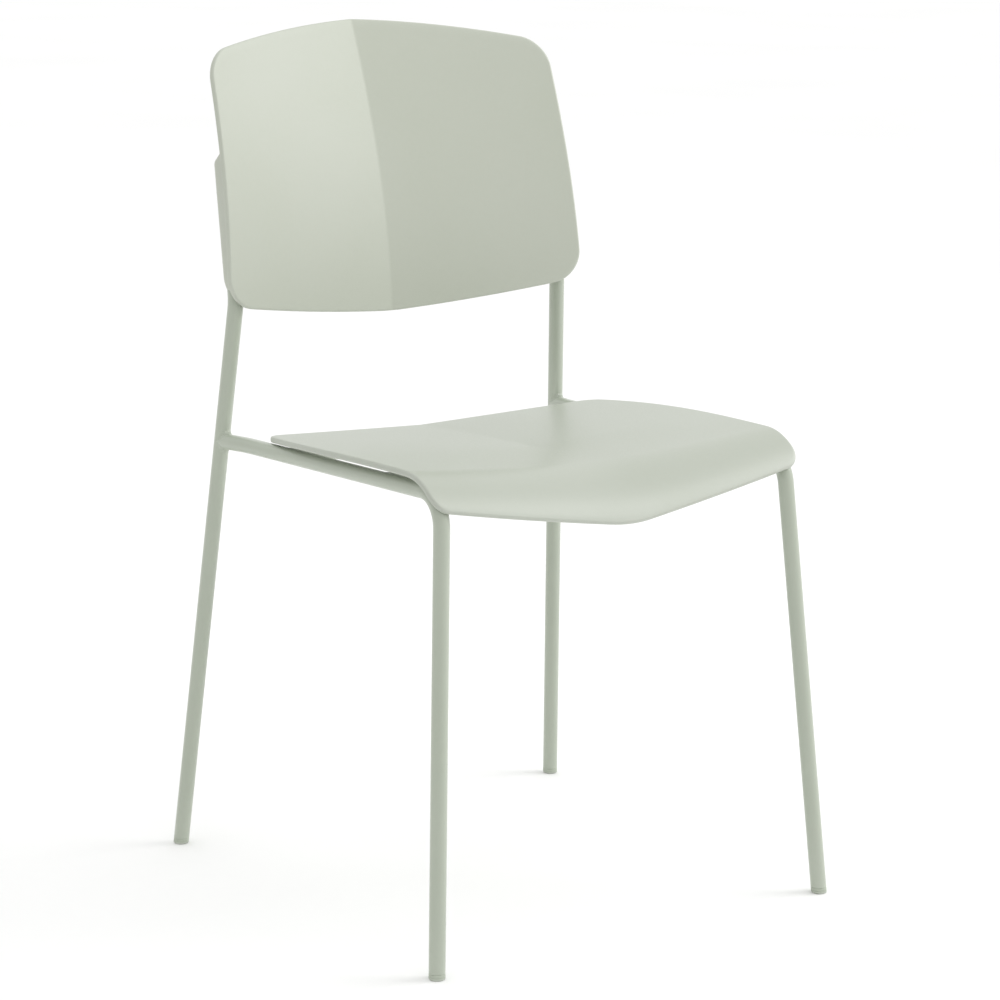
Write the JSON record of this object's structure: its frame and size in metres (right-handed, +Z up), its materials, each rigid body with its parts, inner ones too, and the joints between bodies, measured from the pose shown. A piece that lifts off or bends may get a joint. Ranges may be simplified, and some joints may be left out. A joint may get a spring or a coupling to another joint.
{
  "type": "stacking chair",
  "caption": "Stacking chair: a splayed frame of round steel tube that carries a dished seat shell and a creased, winged back shell.",
  "frame": {"origin": "on the floor, at the middle of the chair's bounding box", "axes": "+Z up, the sitter faces -Y, +X to the sitter's left; symmetric about X = 0"},
  "size_m": [0.4928, 0.5476, 0.8534],
  "materials": {
    "seat_plastic": "fine grained moulded polypropylene, sage green",
    "back_plastic": "fine grained moulded polypropylene, sage green",
    "powder_coated_tube": "satin powder coat on steel, sage green",
    "glide_plastic": "moulded nylon, grey green",
    "pad_plastic": "moulded soft plastic, grey green",
    "zinc_steel": "zinc plated",
    "insert_brass": "turned brass"
  },
  "bodies": {
    "root": {"back_screws": "zinc_steel", "back_shell": "back_plastic", "cross_tube_welds": "powder_coated_tube", "foot_glide_front_left": "glide_plastic", "foot_glide_front_right": "glide_plastic", "foot_glide_rear_left": "glide_plastic", "foot_glide_rear_right": "glide_plastic", "front_cross_tube": "powder_coated_tube", "front_leg_left": "powder_coated_tube", "front_leg_right": "powder_coated_tube", "rail_weld_left": "powder_coated_tube", "rail_weld_right": "powder_coated_tube", "rear_cross_tube": "powder_coated_tube", "rear_leg_left": "powder_coated_tube", "rear_leg_right": "powder_coated_tube", "rivet_nuts": "zinc_steel", "seat_inserts": "insert_brass", "seat_screws": "zinc_steel", "seat_shell": "seat_plastic", "seat_tab_front_left": "powder_coated_tube", "seat_tab_front_right": "powder_coated_tube", "seat_tab_rear_left": "powder_coated_tube", "seat_tab_rear_right": "powder_coated_tube", "seat_washers": "zinc_steel", "stacking_pad_front_left": "pad_plastic", "stacking_pad_front_right": "pad_plastic", "stacking_pad_rear_left": "pad_plastic", "stacking_pad_rear_right": "pad_plastic"}
  },
  "joints": []
}
